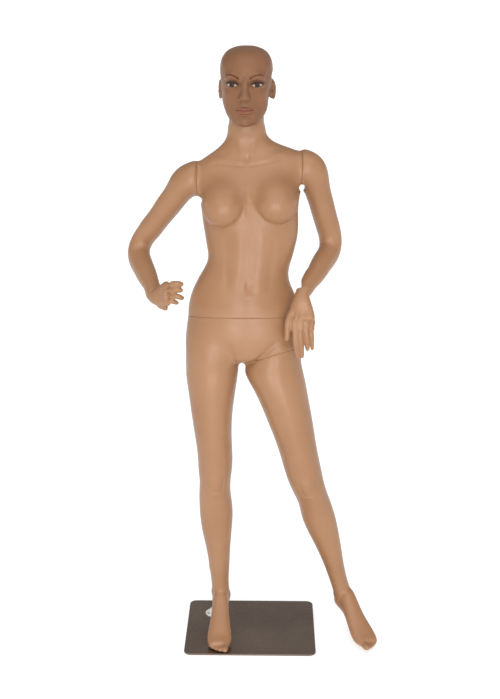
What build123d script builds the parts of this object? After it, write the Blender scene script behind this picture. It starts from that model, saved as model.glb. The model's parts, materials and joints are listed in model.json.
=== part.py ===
"""Full body display mannequin: hollow plastic figure on a steel base with a calf rod.

Millimetres. +Z is up, the figure faces -Y, its own left side is at +X, and the origin is the
centre of the base's underside, on the floor.
"""

from build123d import *
from math import cos, sin, pi, radians, copysign
import os

os.makedirs("parts", exist_ok=True)

# ---------------------------------------------------------------- driving dimensions
BASE_WIDTH = 390
BASE_DEPTH = 330
BASE_CORNER = 21
PLATE_THICK = 4
UNDERLAY_THICK = 2
UNDERLAY_INSET = 3
PLATE_TOP = UNDERLAY_THICK + PLATE_THICK

WALL = 4                 # moulded shell thickness
LEG_WALL = 8             # the legs carry the figure
HEAD_WALL = 7
END_WALL = 8             # closed end behind each seam
SEAM_GAP = 0.5           # clear space between pieces that move against each other
FIT_GAP = 0.05           # radial clearance of a peg in its socket
SEAT_GAP = 0.1           # clearance of a fitting in its moulded pocket

NECK_X = -12
NECK_Y = 33
NECK_TOP = 1547
NECK_RADIUS = 48

ROD_RADIUS = 6
ROD_FOOT = Vector(-117, 82, PLATE_TOP)
ROD_HEAD = Vector(-103, 20, 352)
ROD_LIFT = 2             # the rod's end above the plate, inside its flange
SLEEVE_START = 196       # along the rod, just below where it enters the calf
SLEEVE_RADIUS = 9
LOCK_SCREW_AT = 204
FLANGE_RADIUS = 25
FLANGE_RIM = 4
FLANGE_BOSS = 11
FLANGE_HEIGHT = 16
FLANGE_SCREW_CIRCLE = 18
SCREW_RADIUS = 2.5
SCREW_HEAD = 4.2

WAIST_CENTRE = Vector(-15, -12, 995)
WAIST_NORMAL = Vector(0, 0.163, 1)
LEG_SEAM_NORMAL = Vector(-0.315, 0.215, 1)
LEG_SEAM_INNER = Vector(-27, -20, 856)   # where the seam meets the crotch
LEG_SEAM_CENTRE = LEG_SEAM_INNER + Vector(1, 0, 0.315) * 97

SHOULDER_RIGHT = Vector(-149, 31, 1377)
SHOULDER_LEFT = Vector(141, 31, 1413)
SHOULDER_FLOOR = 1280    # the shoulder seams stop above this height
ELBOW_RIGHT = Vector(-337, 112, 1161)
ELBOW_LEFT = Vector(236, 92, 1176)
WRIST_RIGHT = Vector(-263, -72, 1071)
WRIST_LEFT = Vector(146, -84, 1080)
ELBOW_BEND_RIGHT = 46
ELBOW_BEND_LEFT = 50

RING_POINTS = 16


# ---------------------------------------------------------------- shape helpers
def ring(plane, half_width, front, back, squareness=2.0):
    """A closed smooth outline: half_width to each side, front towards -y, back towards +y."""
    power = 2 / squareness
    points = []
    for step in range(RING_POINTS):
        angle = 2 * pi * step / RING_POINTS
        across = copysign(abs(cos(angle)) ** power, cos(angle))
        along = copysign(abs(sin(angle)) ** power, sin(angle))
        depth = back if along > 0 else front
        points.append((half_width * across, depth * along))
    with BuildSketch(plane) as outline:
        with BuildLine():
            Spline(*points, periodic=True)
        make_face()
    return outline.sketch.face()


def level_rings(stations, inset=0.0):
    """Rings stacked up the body. A station is x, y, z, half_width, front, back, roll, pitch, squareness."""
    faces = []
    for x, y, z, half_width, front, back, *extra in stations:
        roll, pitch, squareness = (list(extra) + [0, 0, 2.0][len(extra):])[:3]
        plane = Plane((x, y, z)).rotated((pitch, -roll, 0))
        faces.append(ring(plane, half_width - inset, front - inset, back - inset, squareness))
    return faces


def path_rings(path, stations, across, inset=0.0):
    """Rings square to a path, untwisted along it. A station is position 0..1, half_width, front, back."""
    faces = []
    side = across
    for position, half_width, front, back in stations:
        normal = path % position
        side = (side - normal * side.dot(normal)).normalized()
        plane = Plane(origin=path @ position, x_dir=side, z_dir=normal)
        faces.append(ring(plane, half_width - inset, front - inset, back - inset, 2.15))
    return faces


def bent_path(points, bends):
    """Straight runs joined by tangent arcs."""
    with BuildLine() as path:
        FilletPolyline(*points, radius=bends)
    return path.wire()


# ---------------------------------------------------------------- trunk, neck and legs
#           x    y    z     half front back roll pitch square
TRUNK = [
    (-26, -14, 858, 50, 40, 56, 0, 0),
    (-18, -15, 876, 132, 72, 88, 0, 0),
    (-16, -15, 902, 164, 86, 101, 0, 0),
    (-14, -15, 932, 171, 92, 107, 0, 0),
    (-13, -14, 965, 169, 94, 107, 0, 0),
    (-15, -12, 1000, 164, 92, 98, 0, 0),
    (-19, -10, 1039, 155, 88, 86, 0, 0),
    (-22, -8, 1074, 141, 83, 76, 0, 0),
    (-19, -5, 1108, 127, 79, 70, 0, 0),
    (-10, -2, 1135, 120, 77, 68, 0, 0),
    (-2, 0, 1158, 119, 77, 70, 0, 0),
    (1, 3, 1192, 125, 79, 74, 0, 0),
    (2, 6, 1226, 131, 83, 80, 1, 0),
    (0, 10, 1259, 134, 87, 85, 2, 0),
    (-2, 15, 1292, 136, 88, 88, 3, 0),
    (-2, 20, 1325, 141, 86, 88, 5, 0),
    (-3, 26, 1360, 154, 79, 84, 7, 0),
    (-4, 30, 1391, 166, 68, 76, 7, 0),
    (-5, 33, 1420, 163, 59, 66, 7, 0),
    (-6, 35, 1443, 133, 53, 58, 6, 0),
    (-8, 36, 1462, 95, 49, 53, 5, 0),
    (-10, 36, 1482, 66, 47, 50, 3, 0),
    (-11, 35, 1504, 54, 46, 48, 0, 0),
    (NECK_X, NECK_Y + 1, 1526, 49, 47, 48, 0, 0),
    (NECK_X, NECK_Y, NECK_TOP + 20, NECK_RADIUS, NECK_RADIUS, NECK_RADIUS, 0, 0),
]
RIGHT_LEG = [
    (-91, 14, 84, 25, 34, 27),
    (-91, 14, 115, 26.5, 33, 28),
    (-93, 13, 149, 26.4, 31, 29),
    (-95, 10, 210, 31, 34, 36),
    (-98, 6, 271, 37, 38, 46),
    (-101, 0, 332, 45, 42, 56),
    (-102, -4, 373, 48.6, 44, 60),
    (-103, -12, 415, 49, 46, 57),
    (-105, -20, 458, 46.7, 50, 48),
    (-104, -26, 499, 46, 55, 44),
    (-103, -29, 538, 49.5, 57, 48),
    (-103, -31, 576, 51, 58, 52),
    (-107, -32, 632, 53, 62, 58),
    (-111, -30, 705, 59, 69, 68),
    (-111, -26, 777, 68, 76, 79),
    (-110, -22, 830, 75, 80, 88),
    (-106, -19, 868, 77, 82, 94),
    (-94, -16, 905, 76, 82, 94),
    (-80, -14, 940, 68, 74, 86),
]
LEFT_LEG = [
    (286, 12, 84, 26, 34, 27),
    (282, 11, 112, 27, 33, 28),
    (270, 12, 152, 27, 31, 29),
    (252, 8, 214, 30.6, 34, 36),
    (234, 0, 277, 38.5, 38, 46),
    (214, -10, 340, 47, 42, 56),
    (202, -18, 382, 50, 44, 60),
    (191, -28, 425, 48.5, 46, 57),
    (176, -38, 467, 49.5, 52, 48),
    (162, -44, 508, 52, 58, 44),
    (152, -46, 546, 54, 58, 48),
    (138, -48, 603, 56, 61, 55),
    (119, -46, 675, 63, 66, 64),
    (98, -40, 746, 71, 74, 75),
    (80, -34, 798, 79, 79, 84),
    (68, -28, 832, 84, 82, 90),
    (65, -22, 868, 81, 82, 94),
    (70, -18, 905, 78, 82, 96),
    (70, -16, 940, 68, 76, 88),
]

#       distance ahead of the ankle, half_width, sole height, top height
FOOT = [
    (-34, 12, 74, 98),
    (-24, 20, 62, 116),
    (-4, 25, 58, 132),
    (26, 25, 52, 134),
    (58, 27, 38, 104),
    (88, 32, 20, 74),
    (114, 36, 9, 54),
    (140, 34, 7, 38),
    (155, 29, 8, 30),
]
#       sideways from the foot's axis, start, tip, radius
TOES = [
    (18, 144, 181, 10),
    (3, 146, 176, 7.6),
    (-9, 144, 169, 7.2),
    (-19, 140, 161, 7),
    (-27, 134, 151, 6.8),
]


def foot(ankle, turn, big_toe_side, lift):
    """A raised foot: heel and instep as one loft, five toes as lofts, in its own scratch part."""
    heading = Vector(sin(radians(turn)), -cos(radians(turn)), 0)
    aside = Vector(cos(radians(turn)), sin(radians(turn)), 0)
    sections = []
    for ahead, half_width, sole, top in FOOT:
        middle = ankle + heading * ahead
        half_height = (top - sole) / 2
        plane = Plane(origin=(middle.X, middle.Y, (top + sole) / 2 + lift), x_dir=aside, z_dir=-heading)
        sections.append(ring(plane, half_width, half_height, half_height, 2.3))
    with BuildPart() as shape:
        loft(sections=sections)
        for side, start, tip, radius in TOES:
            offset = aside * (side * big_toe_side)
            low = lift + radius + 6.5
            back = ankle + heading * (start - 22) + offset + Vector(0, 0, low + 10 - ankle.Z)
            middle = ankle + heading * (start + 4) + offset + Vector(0, 0, low + 3 - ankle.Z)
            end = ankle + heading * tip + offset + Vector(0, 0, low - ankle.Z)
            path = bent_path((back, middle, end), 14)
            sizes = [(0, radius), (0.55, radius), (0.8, radius), (0.93, radius * 0.8), (1, radius * 0.3)]
            loft(sections=path_rings(path, [(p, r, r * 0.9, r * 0.9) for p, r in sizes], aside))
    return shape.part


# ---------------------------------------------------------------- arms and hands
#   position along the arm, half_width, front, back
RIGHT_ARM = [
    (0.00, 51, 47, 46), (0.06, 49, 47, 46), (0.12, 43, 44, 43), (0.18, 38, 41, 40), (0.25, 36, 39, 38),
    (0.33, 34, 37, 37), (0.42, 33, 36, 35), (0.49, 32, 34, 34), (0.56, 31, 33, 33), (0.62, 32, 33, 33),
    (0.69, 32, 33, 33), (0.78, 30, 31, 31), (0.88, 26, 26, 26), (0.95, 23, 22, 22), (1.00, 22, 20, 20),
]
LEFT_ARM = [
    (0.00, 52, 47, 46), (0.06, 50, 47, 46), (0.12, 44, 43, 42), (0.18, 39, 40, 39), (0.25, 36, 38, 37),
    (0.33, 35, 37, 36), (0.42, 34, 35, 34), (0.49, 33, 33, 33), (0.56, 32, 32, 32), (0.62, 32, 33, 33),
    (0.69, 32, 33, 33), (0.78, 30, 31, 31), (0.88, 26, 26, 26), (0.95, 23, 22, 22), (1.00, 22, 20, 20),
]
ARM_INSIDE = 16          # how far the arm's form starts inside the seam
DELTOID_OUT = 24         # from the seam to the corner where the arm turns down
DELTOID_BEND = 50

#   position along the palm, half_width, palm side, back of the hand
PALM = [(0, 22, 20, 20), (0.22, 23, 17, 18), (0.5, 29, 15, 15), (0.8, 34, 13, 13), (0.97, 33, 11, 11),
        (1, 30, 8, 8)]
#   knuckle, middle joint, tip, radius
RIGHT_FINGERS = [
    [(-223, -126, 1106), (-199, -150, 1121), (-181, -137, 1113), 8.5],
    [(-222, -128, 1093), (-196, -155, 1105), (-184, -139, 1097), 8.5],
    [(-226, -127, 1078), (-197, -153, 1085), (-180, -140, 1075), 8.5],
    [(-233, -121, 1065), (-211, -145, 1069), (-195, -134, 1060), 7.5],
    [(-256, -86, 1056), (-243, -102, 1045), (-228, -118, 1041), 9.5],
]
LEFT_FINGERS = [
    [(122, -116, 1014), (124, -124, 961), (131, -118, 898), 8.5],
    [(137, -118, 1014), (139, -126, 956), (145, -118, 901), 8.5],
    [(153, -115, 1014), (156, -121, 960), (160, -114, 921), 8.2],
    [(166, -108, 1016), (170, -112, 963), (173, -106, 920), 7.2],
    [(122, -97, 1052), (105, -116, 1005), (101, -127, 952), 9.5],
]
FINGER_BEND = 12
FINGER_TAPER = [(0, 1), (0.3, 1.02), (0.5, 0.98), (0.75, 0.88), (0.91, 0.76), (0.97, 0.56), (1, 0.25)]


def arm_path(seam_centre, elbow, wrist, outward, elbow_bend):
    """Leaves the shoulder seam square, turns down under the deltoid, then bends at the elbow."""
    inside = seam_centre - Vector(outward * ARM_INSIDE, 0, 0)
    corner = seam_centre + Vector(outward * DELTOID_OUT, 0, 0)
    return bent_path((inside, corner, elbow, wrist), (DELTOID_BEND, elbow_bend))


def hand(wrist, wrist_normal, fingers):
    """Palm and five digits in one scratch part. The last entry of fingers is the thumb."""
    knuckles = [Vector(*finger[0]) for finger in fingers[:4]]
    centre = (knuckles[0] + knuckles[1] + knuckles[2] + knuckles[3]) / 4
    across = (knuckles[0] - knuckles[3]).normalized()
    forward = (centre - wrist).normalized()
    with BuildLine() as palm_line:
        Spline(wrist, centre + forward * 8, tangents=(wrist_normal, forward))
    with BuildPart() as shape:
        loft(sections=path_rings(palm_line.wire(), PALM, across))
        for knuckle, joint, tip, radius in fingers:
            path = bent_path((knuckle, joint, tip), FINGER_BEND)
            sizes = [(p, radius * r, radius * r, radius * r) for p, r in FINGER_TAPER]
            loft(sections=path_rings(path, sizes, across))
    return shape.part


# ---------------------------------------------------------------- head
#    x    y    z     half front back roll pitch
HEAD = [
    (-14, 4, 1541, 36, 43, 44, 0, 19),
    (-14, 8, 1552, 49, 57, 62, 0, 17),
    (-15, 14, 1573, 57, 69, 75, 0, 12),
    (-15, 20, 1598, 63, 76, 84, 0, 8),
    (-13, 26, 1625, 67, 81, 92, 0, 4),
    (-12, 30, 1651, 70.5, 85, 97, 0, 1),
    (-12, 32, 1675, 72, 87, 98, 0, 0),
    (-12, 34, 1697, 69, 84, 93, 0, 0),
    (-12, 36, 1715, 60, 73, 80, 0, 0),
    (-12, 38, 1729, 43, 52, 56, 0, 0),
    (-12, 39, 1736, 19, 24, 26, 0, 0),
]
NOSE = [
    (-14, -60, 1598, 13, 8, 16, 0, 0),
    (-14, -66, 1605, 13, 12, 16, 0, 0),
    (-14, -64, 1618, 9, 9, 16, 0, 0),
    (-13, -58, 1638, 7, 6, 14, 0, 0),
    (-13, -54, 1652, 7, 4, 12, 0, 0),
]
EAR_HEIGHT = 1624
EAR_OUT = 68
EAR_BEHIND = 38
EAR_TALL = 29            # half of the ear's height


# ---------------------------------------------------------------- joint fittings
#   plate radius, peg radius, peg length
WAIST_FIT = (40, 14, 28)
NECK_FIT = (30, 11, 24)
SHOULDER_FIT = (28, 12, 24)
WRIST_FIT = (14, 6, 16)
LEG_FIT = (42, 15, 36)
FIT_PLATE = 3            # thickness of every fitting's plate
CUP_WALL = 4
STUB_LENGTH = 14         # the rivet tail behind a peg's plate


def joint_plane(origin, towards_socket):
    """A joint's plane: its origin on the peg piece's face, its normal towards the socket piece."""
    guide = Vector(1, 0, 0) if abs(towards_socket.normalized().X) < 0.8 else Vector(0, 1, 0)
    return Plane(origin=origin, x_dir=guide, z_dir=towards_socket)


def peg_fitting(plane, fit):
    """A round plate set flush in one piece, its peg standing into the other piece."""
    plate_radius, peg_radius, peg_length = fit
    with BuildPart() as fitting:
        with BuildSketch(plane.offset(-FIT_PLATE)):
            Circle(plate_radius)
        extrude(amount=FIT_PLATE)
        with BuildSketch(plane.offset(-STUB_LENGTH)):
            Circle(peg_radius * 0.7)
        extrude(amount=STUB_LENGTH - FIT_PLATE)
        with BuildSketch(plane):
            Circle(peg_radius)
        extrude(amount=peg_length)
        chamfer(fitting.faces().sort_by(Axis(plane.origin, plane.z_dir))[-1].edges(), 1.2)
    return fitting.part


def socket_fitting(plane, fit):
    """A flanged cup set flush in the other piece, with the peg's bore."""
    plate_radius, peg_radius, peg_length = fit
    mouth = plane.offset(SEAM_GAP)
    with BuildPart() as fitting:
        with BuildSketch(mouth):
            Circle(plate_radius)
        extrude(amount=FIT_PLATE)
        with BuildSketch(mouth):
            Circle(peg_radius + CUP_WALL)
        extrude(amount=peg_length + CUP_WALL)
        with BuildSketch(mouth):
            Circle(peg_radius + FIT_GAP)
        extrude(amount=peg_length + 1, mode=Mode.SUBTRACT)
    return fitting.part


def peg_pocket(plane, fit):
    """The space a peg fitting fills behind its own piece's face. Cuts the part being built."""
    plate_radius, peg_radius, peg_length = fit
    with BuildPart() as pocket:
        with BuildSketch(plane):
            Circle(plate_radius + SEAT_GAP)
        extrude(amount=-FIT_PLATE - SEAT_GAP)
        with BuildSketch(plane):
            Circle(peg_radius * 0.7 + SEAT_GAP)
        extrude(amount=-STUB_LENGTH - SEAT_GAP)
    return pocket.part


def socket_pocket(plane, fit):
    """The space a socket fitting fills behind its piece's face."""
    plate_radius, peg_radius, peg_length = fit
    with BuildPart() as pocket:
        with BuildSketch(plane):
            Circle(plate_radius + SEAT_GAP)
        extrude(amount=SEAM_GAP + FIT_PLATE + SEAT_GAP)
        with BuildSketch(plane):
            Circle(peg_radius + CUP_WALL + SEAT_GAP)
        extrude(amount=SEAM_GAP + peg_length + CUP_WALL + SEAT_GAP)
    return pocket.part


def leg_space(drop):
    """Everything that belongs to the detachable leg: below the leg seam, outside the crotch."""
    plane = Plane(origin=LEG_SEAM_INNER, x_dir=(1, 0, 0), z_dir=LEG_SEAM_NORMAL).offset(-drop)
    with BuildPart(plane) as space:
        with Locations((drop, 0, 0)):
            Box(500, 1000, 1100, align=(Align.MIN, Align.CENTER, Align.MAX))
    return space.part


def arm_space(gap):
    """The two blocks outside the shoulder seams, above the waist. A gap moves them inwards."""
    with BuildPart() as space:
        with Locations((SHOULDER_RIGHT.X + gap, 0, SHOULDER_FLOOR)):
            Box(200, 400, 400, align=(Align.MAX, Align.CENTER, Align.MIN))
        with Locations((SHOULDER_LEFT.X - gap, 0, SHOULDER_FLOOR)):
            Box(200, 400, 400, align=(Align.MIN, Align.CENTER, Align.MIN))
    return space.part


def save(part, name):
    """Label a finished piece and write its file."""
    part.label = name
    export_step(part, f"parts/{name}.step")


WAIST_JOINT = joint_plane(WAIST_CENTRE, WAIST_NORMAL)
NECK_JOINT = joint_plane(Vector(NECK_X, NECK_Y, NECK_TOP + SEAM_GAP), Vector(0, 0, -1))
SHOULDER_JOINTS = {
    "right": joint_plane(SHOULDER_RIGHT, Vector(1, 0, 0)),
    "left": joint_plane(SHOULDER_LEFT, Vector(-1, 0, 0)),
}
LEG_JOINT = joint_plane(LEG_SEAM_CENTRE - LEG_SEAM_NORMAL.normalized() * SEAM_GAP, LEG_SEAM_NORMAL)
ROD_AXIS = (ROD_HEAD - ROD_FOOT).normalized()
ROD_PLANE = Plane(origin=ROD_FOOT, x_dir=(1, 0, 0), z_dir=ROD_AXIS)
ROD_LENGTH = (ROD_HEAD - ROD_FOOT).length

# ---------------------------------------------------------------- whole outer and inner forms
BREASTS = [(-73, -44, 1308), (70, -44, 1318)]
BREAST_RADIUS = 56
SEAT_MOUNDS = [(-84, 18, 922), (62, 18, 930)]
SEAT_RADIUS = 78
INNER_ANKLE = 205        # where the hollow of each leg ends

with BuildPart() as trunk_form:
    loft(sections=level_rings(TRUNK))
    with Locations(*BREASTS):
        Sphere(BREAST_RADIUS)
    with Locations(*SEAT_MOUNDS):
        Sphere(SEAT_RADIUS)

with BuildPart() as low_form:
    add(trunk_form.part)
    loft(sections=level_rings(RIGHT_LEG))
    loft(sections=level_rings(LEFT_LEG))
    add(foot(Vector(-91, 12, 0), 0, 1, 0))
    add(foot(Vector(284, 11, 0), 26.5, -1, 5))

with BuildPart() as low_hollow:
    loft(sections=level_rings(TRUNK[1:], WALL))
    loft(sections=level_rings(RIGHT_LEG, LEG_WALL))
    split(bisect_by=Plane.XY.offset(INNER_ANKLE), keep=Keep.TOP)
    add(leg_space(-END_WALL), mode=Mode.SUBTRACT)
    split(bisect_by=WAIST_JOINT.offset(-END_WALL), keep=Keep.BOTTOM)

with BuildPart() as leg_hollow:
    loft(sections=level_rings(LEFT_LEG, LEG_WALL))
    split(bisect_by=Plane.XY.offset(INNER_ANKLE), keep=Keep.TOP)
    add(leg_space(END_WALL), mode=Mode.INTERSECT)

with BuildPart() as torso_hollow:
    loft(sections=level_rings(TRUNK, WALL))
    split(bisect_by=WAIST_JOINT.offset(END_WALL), keep=Keep.TOP)
    split(bisect_by=Plane((0, 0, NECK_TOP - END_WALL)), keep=Keep.BOTTOM)
    add(arm_space(END_WALL), mode=Mode.SUBTRACT)

# ---------------------------------------------------------------- stand
with BuildPart() as base_underlay:
    with BuildSketch():
        RectangleRounded(BASE_WIDTH - 2 * UNDERLAY_INSET, BASE_DEPTH - 2 * UNDERLAY_INSET,
                         BASE_CORNER - UNDERLAY_INSET)
    extrude(amount=UNDERLAY_THICK)
save(base_underlay.part, "base_underlay")

with BuildPart() as base_plate:
    with BuildSketch(Plane.XY.offset(UNDERLAY_THICK)):
        RectangleRounded(BASE_WIDTH, BASE_DEPTH, BASE_CORNER)
    extrude(amount=PLATE_THICK)
    chamfer(base_plate.faces().sort_by(Axis.Z)[-1].edges(), 0.6)
    with Locations(Plane((ROD_FOOT.X, ROD_FOOT.Y, PLATE_TOP))):
        with PolarLocations(FLANGE_SCREW_CIRCLE, 3, 90):
            Hole(SCREW_RADIUS)
save(base_plate.part, "base_plate")

FLANGE_FLOOR = Plane((ROD_FOOT.X, ROD_FOOT.Y, PLATE_TOP))
with BuildPart() as rod_flange:
    with BuildSketch(Plane(origin=FLANGE_FLOOR.origin, x_dir=(1, 0, 0), z_dir=(0, -1, 0))):
        with BuildLine():
            Polyline((0, 0), (FLANGE_RADIUS, 0), (FLANGE_RADIUS, FLANGE_RIM - 1), (FLANGE_RADIUS - 1, FLANGE_RIM),
                     (FLANGE_BOSS + 2.5, FLANGE_RIM + 0.6), (FLANGE_BOSS, FLANGE_RIM + 3),
                     (FLANGE_BOSS, FLANGE_HEIGHT - 1), (FLANGE_BOSS - 1, FLANGE_HEIGHT), (0, FLANGE_HEIGHT),
                     close=True)
        make_face()
    revolve(axis=Axis(FLANGE_FLOOR.origin, (0, 0, 1)))
    with Locations(FLANGE_FLOOR.offset(FLANGE_RIM)):
        with PolarLocations(FLANGE_SCREW_CIRCLE, 3, 90):
            CounterBoreHole(SCREW_RADIUS + SEAT_GAP, SCREW_HEAD + SEAT_GAP, 1.5, FLANGE_RIM * 2)
    with BuildSketch(ROD_PLANE.offset(ROD_LIFT)):
        Circle(ROD_RADIUS + SEAT_GAP)
    extrude(amount=FLANGE_HEIGHT * 2, mode=Mode.SUBTRACT)
save(rod_flange.part, "rod_flange")

with BuildPart() as flange_screws:
    with Locations(FLANGE_FLOOR.offset(FLANGE_RIM - 1.5)):
        with PolarLocations(FLANGE_SCREW_CIRCLE, 3, 90):
            Cylinder(SCREW_HEAD, 2.4, align=(Align.CENTER, Align.CENTER, Align.MIN))
            Cylinder(SCREW_RADIUS - SEAT_GAP, 6, align=(Align.CENTER, Align.CENTER, Align.MAX))
    with Locations(FLANGE_FLOOR.offset(FLANGE_RIM + 0.9)):
        with PolarLocations(FLANGE_SCREW_CIRCLE, 3, 90):
            Box(4.4, 0.9, 1.8, mode=Mode.SUBTRACT)
            Box(0.9, 4.4, 1.8, mode=Mode.SUBTRACT)
save(flange_screws.part, "flange_screws")

with BuildPart() as support_rod:
    with BuildSketch(ROD_PLANE.offset(ROD_LIFT)):
        Circle(ROD_RADIUS)
    extrude(amount=ROD_LENGTH - ROD_LIFT)
    chamfer(support_rod.edges().filter_by(GeomType.CIRCLE), 0.8)
save(support_rod.part, "support_rod")

SLEEVE_LENGTH = ROD_LENGTH - SLEEVE_START + CUP_WALL
with BuildPart() as calf_sleeve:
    with BuildSketch(ROD_PLANE.offset(SLEEVE_START)):
        Circle(SLEEVE_RADIUS)
    extrude(amount=SLEEVE_LENGTH)
    with BuildSketch(ROD_PLANE.offset(SLEEVE_START)):
        Circle(ROD_RADIUS + FIT_GAP)
    extrude(amount=ROD_LENGTH - SLEEVE_START + 0.5, mode=Mode.SUBTRACT)
    with Locations(Plane(origin=ROD_FOOT + ROD_AXIS * LOCK_SCREW_AT, z_dir=ROD_PLANE.y_dir)):
        Cylinder(SCREW_RADIUS, 30, align=(Align.CENTER, Align.CENTER, Align.MIN), mode=Mode.SUBTRACT)
save(calf_sleeve.part, "calf_sleeve")

with BuildPart() as rod_lock_screw:
    with BuildSketch(Plane(origin=ROD_FOOT + ROD_AXIS * LOCK_SCREW_AT, z_dir=ROD_PLANE.y_dir).offset(
            ROD_RADIUS + SEAT_GAP)):
        Circle(SCREW_RADIUS - SEAT_GAP)
    extrude(amount=9)
    with BuildSketch(Plane(origin=ROD_FOOT + ROD_AXIS * LOCK_SCREW_AT, z_dir=ROD_PLANE.y_dir).offset(
            SLEEVE_RADIUS + 1.5)):
        Circle(5)
    extrude(amount=5)
    with BuildSketch(Plane(origin=ROD_FOOT + ROD_AXIS * LOCK_SCREW_AT, z_dir=ROD_PLANE.y_dir).offset(
            SLEEVE_RADIUS + 4)):
        RegularPolygon(2.3, 6)
    extrude(amount=6, mode=Mode.SUBTRACT)
save(rod_lock_screw.part, "rod_lock_screw")

# ---------------------------------------------------------------- hips with the standing leg
with BuildPart() as rod_bore:
    with BuildSketch(ROD_PLANE.offset(SLEEVE_START - 30)):
        Circle(SLEEVE_RADIUS + SEAT_GAP)
    extrude(amount=SLEEVE_LENGTH + 30 + SEAT_GAP)

with BuildPart() as lower_body:
    add(low_form.part)
    split(bisect_by=WAIST_JOINT, keep=Keep.BOTTOM)
    add(leg_space(0), mode=Mode.SUBTRACT)
    add(low_hollow.part, mode=Mode.SUBTRACT)
    add(peg_pocket(WAIST_JOINT, WAIST_FIT), mode=Mode.SUBTRACT)
    add(socket_pocket(LEG_JOINT, LEG_FIT), mode=Mode.SUBTRACT)
    add(rod_bore.part, mode=Mode.SUBTRACT)
save(lower_body.part, "lower_body")

with BuildPart() as left_leg:
    add(low_form.part)
    add(leg_space(SEAM_GAP), mode=Mode.INTERSECT)
    add(leg_hollow.part, mode=Mode.SUBTRACT)
    add(peg_pocket(LEG_JOINT, LEG_FIT), mode=Mode.SUBTRACT)
save(left_leg.part, "left_leg")

# ---------------------------------------------------------------- torso
with BuildPart() as torso:
    add(trunk_form.part)
    split(bisect_by=WAIST_JOINT.offset(SEAM_GAP), keep=Keep.TOP)
    split(bisect_by=Plane((0, 0, NECK_TOP)), keep=Keep.BOTTOM)
    add(arm_space(SEAM_GAP), mode=Mode.SUBTRACT)
    add(torso_hollow.part, mode=Mode.SUBTRACT)
    add(socket_pocket(WAIST_JOINT, WAIST_FIT), mode=Mode.SUBTRACT)
    add(socket_pocket(NECK_JOINT, NECK_FIT), mode=Mode.SUBTRACT)
    for joint in SHOULDER_JOINTS.values():
        add(socket_pocket(joint, SHOULDER_FIT), mode=Mode.SUBTRACT)
save(torso.part, "torso")

# ---------------------------------------------------------------- head
HEAD_FLOOR = NECK_TOP + SEAM_GAP
with BuildPart() as head_hollow:
    loft(sections=level_rings(HEAD[:-1], HEAD_WALL))
    split(bisect_by=Plane.XY.offset(HEAD_FLOOR + END_WALL * 2), keep=Keep.TOP)

with BuildPart() as ear:
    Sphere(EAR_TALL)
    scale(by=(0.28, 0.52, 1))

with BuildPart() as head:
    loft(sections=level_rings(HEAD))
    loft(sections=level_rings(NOSE))
    for side in (-1, 1):
        add(ear.part.moved(Location((HEAD[5][0] + side * EAR_OUT, EAR_BEHIND, EAR_HEIGHT), (0, 0, -18 * side))))
    with Locations((NECK_X, NECK_Y, HEAD_FLOOR)):
        Cylinder(NECK_RADIUS + 3, 60, align=(Align.CENTER, Align.CENTER, Align.MAX), mode=Mode.SUBTRACT)
        Cylinder(NECK_RADIUS, 30, align=(Align.CENTER, Align.CENTER, Align.MIN))
    add(head_hollow.part, mode=Mode.SUBTRACT)
    add(peg_pocket(NECK_JOINT, NECK_FIT), mode=Mode.SUBTRACT)
save(head.part, "head")

# ---------------------------------------------------------------- arms and hands
ARMS = {
    "right": (SHOULDER_RIGHT, ELBOW_RIGHT, WRIST_RIGHT, -1, ELBOW_BEND_RIGHT, RIGHT_ARM, RIGHT_FINGERS),
    "left": (SHOULDER_LEFT, ELBOW_LEFT, WRIST_LEFT, 1, ELBOW_BEND_LEFT, LEFT_ARM, LEFT_FINGERS),
}
for side, (shoulder, elbow, wrist, outward, bend, stations, fingers) in ARMS.items():
    path = arm_path(shoulder, elbow, wrist, outward, bend)
    wrist_direction = (path % 1).normalized()
    wrist_joint = joint_plane(wrist + wrist_direction * SEAM_GAP, -wrist_direction)
    shoulder_joint = SHOULDER_JOINTS[side]

    with BuildPart() as arm_hollow:
        loft(sections=path_rings(path, stations, Vector(0, 0, 1), WALL))
        split(bisect_by=shoulder_joint.offset(-END_WALL), keep=Keep.BOTTOM)
        split(bisect_by=wrist_joint.offset(SEAM_GAP + END_WALL), keep=Keep.TOP)

    with BuildPart() as arm:
        loft(sections=path_rings(path, stations, Vector(0, 0, 1)))
        split(bisect_by=shoulder_joint, keep=Keep.BOTTOM)
        add(arm_hollow.part, mode=Mode.SUBTRACT)
        add(peg_pocket(shoulder_joint, SHOULDER_FIT), mode=Mode.SUBTRACT)
        add(socket_pocket(wrist_joint, WRIST_FIT), mode=Mode.SUBTRACT)
    save(arm.part, f"{side}_arm")

    with BuildPart() as one_hand:
        add(hand(wrist + wrist_direction * SEAM_GAP, wrist_direction, fingers))
        add(peg_pocket(wrist_joint, WRIST_FIT), mode=Mode.SUBTRACT)
    save(one_hand.part, f"{side}_hand")

    save(peg_fitting(shoulder_joint, SHOULDER_FIT), f"{side}_arm_peg")
    save(socket_fitting(shoulder_joint, SHOULDER_FIT), f"{side}_shoulder_socket")
    save(peg_fitting(wrist_joint, WRIST_FIT), f"{side}_hand_peg")
    save(socket_fitting(wrist_joint, WRIST_FIT), f"{side}_wrist_socket")

# ---------------------------------------------------------------- the other joint fittings
save(peg_fitting(WAIST_JOINT, WAIST_FIT), "waist_peg")
save(socket_fitting(WAIST_JOINT, WAIST_FIT), "waist_socket")
save(peg_fitting(NECK_JOINT, NECK_FIT), "head_peg")
save(socket_fitting(NECK_JOINT, NECK_FIT), "neck_socket")
save(peg_fitting(LEG_JOINT, LEG_FIT), "leg_peg")
save(socket_fitting(LEG_JOINT, LEG_FIT), "leg_socket")
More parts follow.
